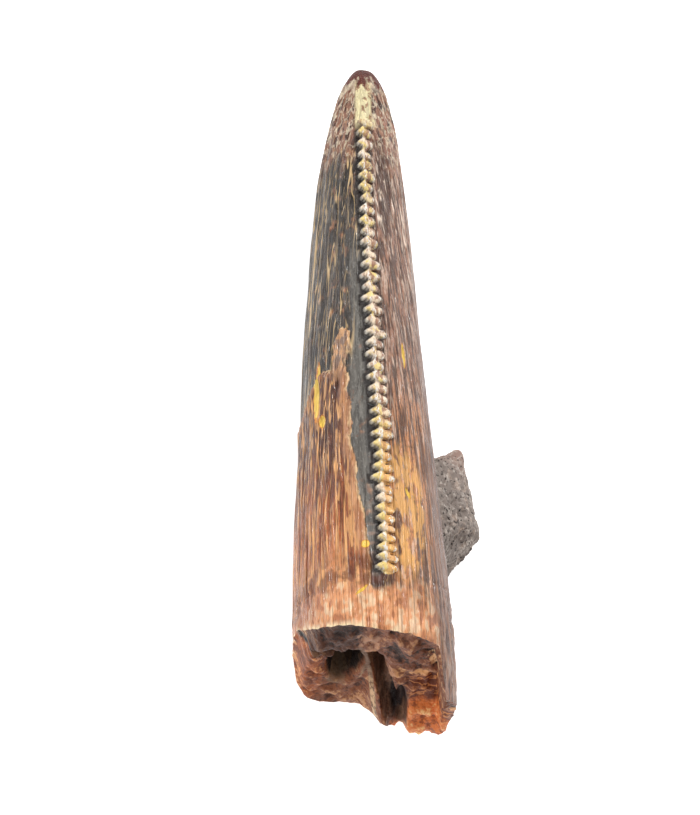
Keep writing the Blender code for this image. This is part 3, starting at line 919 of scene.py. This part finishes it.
def tipEnamel(grain, colour):  # paler and blotched near the tip
    nearTip = overlap((strayed("up", grain, (0.8, 1.5), 5.0, seed=81), 19.6, 21.4))
    loops = thinLines(grain, (0.5, 0.7), 0.04, seed=87, detail=2)
    return layered(enamelLook, colour, (
        ("tip", nearTip, 0.75),
        ("tipDark", nearTip, patches(grain, (0.35, 0.5), 0.5, 0.58, seed=83), 0.9),
        ("tipPale", nearTip, patches(grain, (0.3, 0.4), 0.55, 0.61, seed=85), 0.6),
        ("tipPale", nearTip, loops, 0.6),
        # a pale band just under the worn cap: painted highlight
        ("tipPale", ("up", 23.1, 23.5), 0.5),
    ))


def crustEnamel(grain):  # the rusty, ridged crust at the lower left
    lines = thinLines(grain, (0.2, 20.0), 0.045, seed=41)
    ridges = strayed("ridge", grain, (0.12, 1.2), 1.0, seed=46)
    broken = patches(grain, (0.25, 1.0), 0.46, 0.54, seed=47)
    brokenMore = patches(grain, (0.3, 3.0), 0.42, 0.5, seed=48)
    grooves = patches(grain, (0.12, 6.0), 0.48, 0.56, seed=49)
    purple = patches(grain, (0.7, 1.4), 0.5, 0.6, seed=53)
    warm = patches(grain, (0.6, 1.0), 0.42, 0.6, seed=57)
    speck = patches(grain, (0.09, 0.2), 0.5, 0.62, seed=58)
    pinkish = patches(grain, (0.25, 0.6), 0.46, 0.56, seed=59)
    top = overlap(("up", 10.2, 11.4), ("side", -1.75, -1.5))
    return layered(enamelLook, "crust", (
        ("crustUpper", ("up", 4.5, 9.0)),
        ("crustPurple", purple, ("up", 4.5, 8.0), 0.7),
        ("crustGroove", grooves, 0.5),
        ("crustGroove", speck, 0.4),
        ("crustGroove", (ridges, 0.2, 0.0), 0.5),
        ("root", warm, ("up", 4.2, 2.0), 0.8),
        # bright lines on the crust's ridges: partly their own colour, partly painted glints
        ("crustLine", (ridges, 0.55, 0.75), broken, 0.6),
        ("crustLine", lines, brokenMore),
        ("crustPatch", top, 0.85),
        ("crustLine", top, pinkish, 0.5),
    ))


def rootEnamel(grain):  # orange and pitted, with a painted highlight along the broken rim
    pitted = strayed("pitted", grain, (0.15, 0.5), 1.0, seed=61)
    streaks = patches(grain, (0.12, 1.5), 0.45, 0.65, seed=63)
    rimHighlight = overlap(("fromRim", 0.3, 0.02), patches(grain, (0.5, 2), 0.4, 0.55, 67))
    return layered(enamelLook, "root", (
        ("rootDark", (pitted, 0.48, 0.1), 0.7),
        ("rootPale", (pitted, 0.5, 0.95), 0.8),
        ("rootDark", streaks, 0.25),
        ("rootDark", ("side", -2.2, -2.8), ("up", 0.3, 1.2), 0.6),
        # pale along the left half of the broken rim: painted highlight
        ("rim", rimHighlight, ("side", 0.6, 0.2)),
    ))


def denticleEnamel(grain):  # cream to yellow, blotched on the right; the yellow is partly a painted glow, and the lobes' ends and crest carry painted highlights
    spots = patches(grain, (0.2, 0.35), 0.44, 0.54, seed=71)
    moreSpots = patches(grain, (0.16, 0.2), 0.46, 0.54, seed=72)
    specks = patches(grain, (0.1, 0.12), 0.54, 0.62, seed=75)
    yellow = overlap(("up", 9.0, 7.5), ("tone", 0.1, 0.3))
    yellowTop = overlap(("up", 17.5, 18.5), ("tone", 0.4, 0.6))
    yellowMiddle = overlap(("tone", 0.8, 0.85), ("across", 0.2, 0.0))
    for other in (yellowTop, yellowMiddle):
        yellow = addNode("Math", [yellow, other], operation="MAXIMUM")
    across = strayed("across", grain, (0.15, 0.2), 1.2, seed=76)
    fromCrest = addNode("Math", [across, 0.2], operation="ADD")
    fromCrest = addNode("Math", [fromCrest], operation="ABSOLUTE")
    right = overlap((across, -0.1, 0.1))
    return layered(enamelLook, "lobe", (
        # the lobes' yellow: partly their own colour, partly a painted glow of light through the thin enamel
        ("lobeYellow", yellow, 0.85),
        ("lobeYellow", patches(grain, (0.35, 0.4), 0.54, 0.6, seed=78), 0.8),
        ("right", spots, moreSpots, ("up", 6.5, 9.5), 0.6),
        # white edges at the lobes' ends: painted highlights
        ("lobePale", ("lobe", 0.8, 0.5), (across, -0.3, -0.45), 0.8),
        ("right", right, spots, 0.85),
        # the low right lobes turned golden: painted highlight
        ("golden", right, ("up", 9.5, 6.5), 0.7),
        ("lobePale", (across, 0.5, 0.7), moreSpots),
        ("crest", (fromCrest, 0.22, 0.08), spots, 0.6),
        ("crest", specks, 0.3),
        # a thin white line along the crest: painted highlight
        ("crestLine", (fromCrest, 0.15, 0.08), spots),
    ))


def fossilEnamel():
    look = enamelLook
    material, shader = newMaterial("fossilEnamel")
    grain = addNode("Attribute", out="Vector", attribute_name="grain")
    crustIn = strayed("crust", grain, (0.16, 0.3), 0.2, seed=1)
    crust = overlap((crustIn, -0.01, 0.03))
    crustEdgeHighlight = patches(grain, (0.4, 0.7), 0.4, 0.54, seed=5)
    underNeck = patches(grain, (0.5, 0.5), 0.38, 0.56, seed=13)
    speck = patches(grain, (0.07, 0.14), 0.52, 0.68, seed=5)
    bandStreaks = patches(grain, (0.13, 1.6), 0.46, 0.64, seed=8)
    bandMarks = patches(grain, (0.12, 0.9), 0.5, 0.62, seed=6)
    fusedPatch = patches(grain, (0.5, 0.4), 0.42, 0.48, seed=73)
    chip = strayed("chip", grain, (0.12, 0.3), 0.6, seed=9)
    rootIn = strayed("root", grain, (0.5, 0.5), 2.0, seed=2)
    wornUp = strayed("up", grain, (0.5, 0.5), 2.0, seed=2)
    inSaw = overlap(("lobe", 0.12, 0.3))
    fromRight = [overlap(("side", 1.4, 0.2)), overlap(("up", 1.2, 0.3))]
    rootShare = addNode("Math", fromRight, operation="MAXIMUM")
    rootShare = addNode("MapRange", {"Value": rootShare, "To Min": 0.45, "To Max": 1.0})
    colour = layered(look, tipEnamel(grain, upperEnamel(grain)), (
        (crustEnamel(grain), crust),
        ("band", "band"),
        ("bandDark", "band", bandStreaks, 0.5),
        ("bandPale", "band", bandMarks, 0.4),
        ("bandPale", "band", speck, 0.4),
        ("crustMargin", (crustIn, 0.38, 0.12), crust, ("up", 11.4, 10.4), 0.75),
        # a bright line just inside the crust's torn edge: painted highlight
        ("crustEdge", (crustIn, 0.1, 0.03), crustEdgeHighlight, crust, 0.8),
        ("crustPatch", "rungs", 0.8),
        (rootEnamel(grain), (rootIn, 0.1, 0.95), rootShare),
        ("neck", ("up", 3.4, 2.4), ("up", 1.3, 1.9), underNeck, ("side", 1.2, -0.6), 0.7),
        # the right flank's edge greyer: partly its grey-brown colour, partly a painted grazing sheen
        ("farRight", ("side", 1.6, 2.3), 0.85),
        ("farRightDark", ("side", 1.6, 2.3), bandStreaks, 0.8),
        ("neck", "neckCrack", ("side", 0.6, -0.4), 0.7),
        ("chipWarm", (chip, 0.3, 0.4)),
        ("chip", (chip, 0.42, 0.55)),
        (denticleEnamel(grain), inSaw),
        # the gaps between the denticles painted near-black: painted shade
        ("slot", "slot", 0.88),
        # the worn, fused denticles below the tip: partly their pale colour, partly a painted highlight on
        # their flattened tops
        ("fusedDark", "fused", 0.7),
        ("fused", "fused", fusedPatch),
        ("worn", (wornUp, 23.45, 23.75)),
    ))

    fine = noiseAt(grain, (0.1, 0.8), 77, 4)
    rough = addNode("MapRange", {"Value": overlap((fine, 0.35, 0.6)), "To Min": look["smoothest"],
                                 "To Max": look["roughest"]})
    polish = addNode("MapRange", {"Value": inSaw, "To Min": 1.0, "To Max": look["denticlePolish"]})
    fineRidges = thinLines(grain, (0.2, 16.0), 0.09, seed=41)
    coarseRidges = thinLines(grain, (0.45, 30.0), 0.06, seed=21)
    ridges = addNode("Math", [fineRidges, coarseRidges], operation="ADD")
    height = addNode("Math", [fine, 1.5, ridges], operation="MULTIPLY_ADD")
    smoothParts = addNode("Math", ["band", "lobe"], operation="ADD")
    notSmooth = addNode("MapRange", {"Value": smoothParts, "To Min": 1.0, "To Max": 0.05})
    height = addNode("Math", [speck, 0.3, overlap(height, notSmooth)], operation="MULTIPLY_ADD")
    bump = addNode("Bump", {"Height": height, "Strength": 0.9, "Distance": 0.05 * mm})
    fill(shader, {"Base Color": colour, "Roughness": overlap(rough, polish), "IOR": look["ior"],
                  "Specular IOR Level": look["specular"], "Normal": bump})
    return material


# Broken dentine: the fossil's inside where it snapped, dull and rough, brown to orange,
# with a thin cream wall between the hollows, which are painted nearly black as painted
# shade. Its real grain is under 0.01 mm, far too fine to show, so it is drawn 0.15 mm wide
# and more.
dentineLook = {
    "ledge": "#7e4b33", "ledgePale": "#c58b62", "ledgeDark": "#24130e", "ledgeEdge": "#e8aa72",
    "leftLobe": "#a6592c", "leftLobeDark": "#5f2d1a", "leftLobePale": "#eea468",
    "rightLobe": "#6c351e", "rightLine": "#cd8450",
    "endLobe": "#dd7a3d", "endPale": "#ffca86", "endDark": "#66290f",
    "middle": "#8d5334", "middlePale": "#d39a6c", "middleDark": "#42241a",
    "leftHollow": "#2a211d", "leftFold": "#57402f", "rightHollow": "#70503f", "rightFold": "#a57e66",
    "pit": "#131118", "septum": "#684930", "septumPale": "#f3c896", "knobs": "#d9a583",
    "crack": "#120a08", "shelf": "#8f7256", "edge": "#e2b183",
    "roughness": 0.5, "ior": 1.55, "specular": 0.2,
}


def brokenDentine():
    look = dentineLook
    material, shader = newMaterial("brokenDentine")
    spot = addNode("Attribute", out="Vector", attribute_name="spot")
    x, z = [addNode("SeparateXYZ", [spot], out=way) for way in "XZ"]  # to the side, and down
    across, down = [strayed(place, spot, (0.6, 0.6), 0.9, seed=1) for place in (x, z)]
    onLeft = overlap((across, -1.7, -2.0), (down, 3.3, 3.7))
    onRight = overlap((across, 1.0, 1.4), (down, 3.0, 3.25))
    atEnd = overlap((across, 0.9, 1.3), (down, 4.9, 5.2))
    middle = overlap((down, 3.4, 4.2), (across, 1.0, 0.6))
    ledgeEdge = overlap((down, 2.75, 2.95), (down, 3.3, 3.1))
    inLeft = overlap(("hollow", 0.04, 0.25), (x, -0.1, -0.4))
    inRight = overlap(("hollow", 0.04, 0.25), (x, -0.4, -0.1))
    pit = spotMask(x, z, (1.2, 6.0), (0.3, 1.6))
    shelf = spotMask(across, down, (-1.2, 6.4), (0.45, 0.4))
    knobs = spotMask(across, down, (-0.6, 1.5), (0.5, 0.6))
    cornerHighlight = spotMask(across, down, (2.1, 1.7), (0.3, 0.7))
    legs = [overlap((x, -0.45, -0.25)), overlap((z, 5.0, 4.5))]
    rightLeg = addNode("Math", legs, operation="MAXIMUM")
    septum = overlap(("septum", 0.4, 0.7), (z, 1.7, 2.3), rightLeg)
    proud = strayed("proud", spot, (0.15, 0.15), 1.0, seed=6)
    # darker where the break is recessed and paler where it stands proud: painted shade and painted light
    dark = overlap((proud, 0.5, 0.22))
    pale = overlap((proud, 0.55, 0.8))
    mottle = patches(spot, (0.5, 0.4, 0.6), 0.44, 0.58, seed=2)
    steps = thinLines(spot, (2.0, 0.3, 0.3), 0.07, seed=14)
    folds = patches(spot, (0.16, 0.8, 0.8), 0.5, 0.62, seed=13)
    bright = patches(spot, (0.2, 0.3, 0.4), 0.42, 0.55, seed=17)
    colour = layered(look, "ledge", (
        ("ledgePale", pale, 0.8),
        ("ledgeDark", dark, 0.9),
        ("ledgeDark", (across, -0.5, -1.2), 0.6),
        ("middle", middle),
        ("middlePale", middle, pale, 0.8),
        ("middleDark", middle, dark, 0.8),
        ("leftLobe", onLeft),
        ("leftLobeDark", onLeft, mottle, 0.6),
        ("leftLobeDark", onLeft, dark, 0.9),
        ("leftLobePale", onLeft, pale, 0.8),
        ("rightLobe", onRight),
        ("rightLine", onRight, steps),
        ("rightLine", onRight, pale, 0.6),
        ("endLobe", atEnd),
        ("endPale", atEnd, pale, 0.9),
        ("endDark", atEnd, dark, 0.7),
        # a bright line along the ledge's lower edge: painted highlight
        ("ledgeEdge", ledgeEdge, (across, 0.5, 0.8), mottle),
        # the pulp hollows and the pit painted dark: painted shade
        ("leftHollow", inLeft),
        ("leftFold", inLeft, folds, 0.7),
        ("rightHollow", inRight),
        ("rightFold", inRight, folds, 0.6),
        ("pit", pit, 0.85),
        ("shelf", shelf, 0.5),
        # near-black along the cracks: painted shadow
        ("crack", ("crack", 0.35, 0.7)),
        ("knobs", knobs, bright, 0.5),
        ("septum", septum, 0.9),
        ("septumPale", septum, bright, (z, 4.6, 6.6), 0.7),
        # pale lines along the rim's edge and a pale spot at its right corner: painted highlights
        ("edge", ("outward", 0.955, 0.985), pale, 0.8),
        ("edge", cornerHighlight, bright),
    ))
    grit = noiseAt(spot, (0.16, 0.16), 4, 4)
    bump = addNode("Bump", {"Height": grit, "Strength": 1.0, "Distance": 0.07 * mm})
    fill(shader, {"Base Color": colour, "Roughness": look["roughness"], "IOR": look["ior"],
                  "Specular IOR Level": look["specular"], "Normal": bump})
    return material


# Sandstone: dull grains of grey-brown, rusty where iron stained it. Its sand grains are
# about 0.1 mm and its clods 0.3 mm, and both are drawn at that size.
sandstoneLook = {
    "base": "#8c8078", "dark": "#3c3430", "light": "#d9cdc2", "rust": "#9c7860", "knob": "#a3867a",
    "roughness": 0.92, "ior": 1.54,
}


def sandstone():
    look = sandstoneLook
    material, shader = newMaterial("sandstone")
    grain = addNode("Attribute", out="Vector", attribute_name="grain")
    rust = patches(grain, (0.8, 0.8), 0.48, 0.64, seed=2)
    clods = patches(grain, (0.3, 0.3), 0.45, 0.65, seed=6)
    grains = patches(grain, (0.09, 0.09), 0.5, 0.66, seed=9, detail=1)
    pores = patches(grain, (0.14, 0.14), 0.56, 0.68, seed=15)
    colour = layered(look, "base", (
        ("rust", rust, clods, 0.7),
        ("knob", "knob"),
        ("light", grains, clods, 0.9),
        ("light", clods, 0.3),
        ("dark", pores),
    ))
    bump = addNode("Bump", {"Height": grains, "Strength": 0.7, "Distance": 0.02 * mm})
    fill(shader, {"Base Color": colour, "Roughness": look["roughness"], "IOR": look["ior"], "Normal": bump})
    return material


toothPlace = addTooth()
print("tooth made")
addLump(*toothPlace)
print("sandstone lump made")
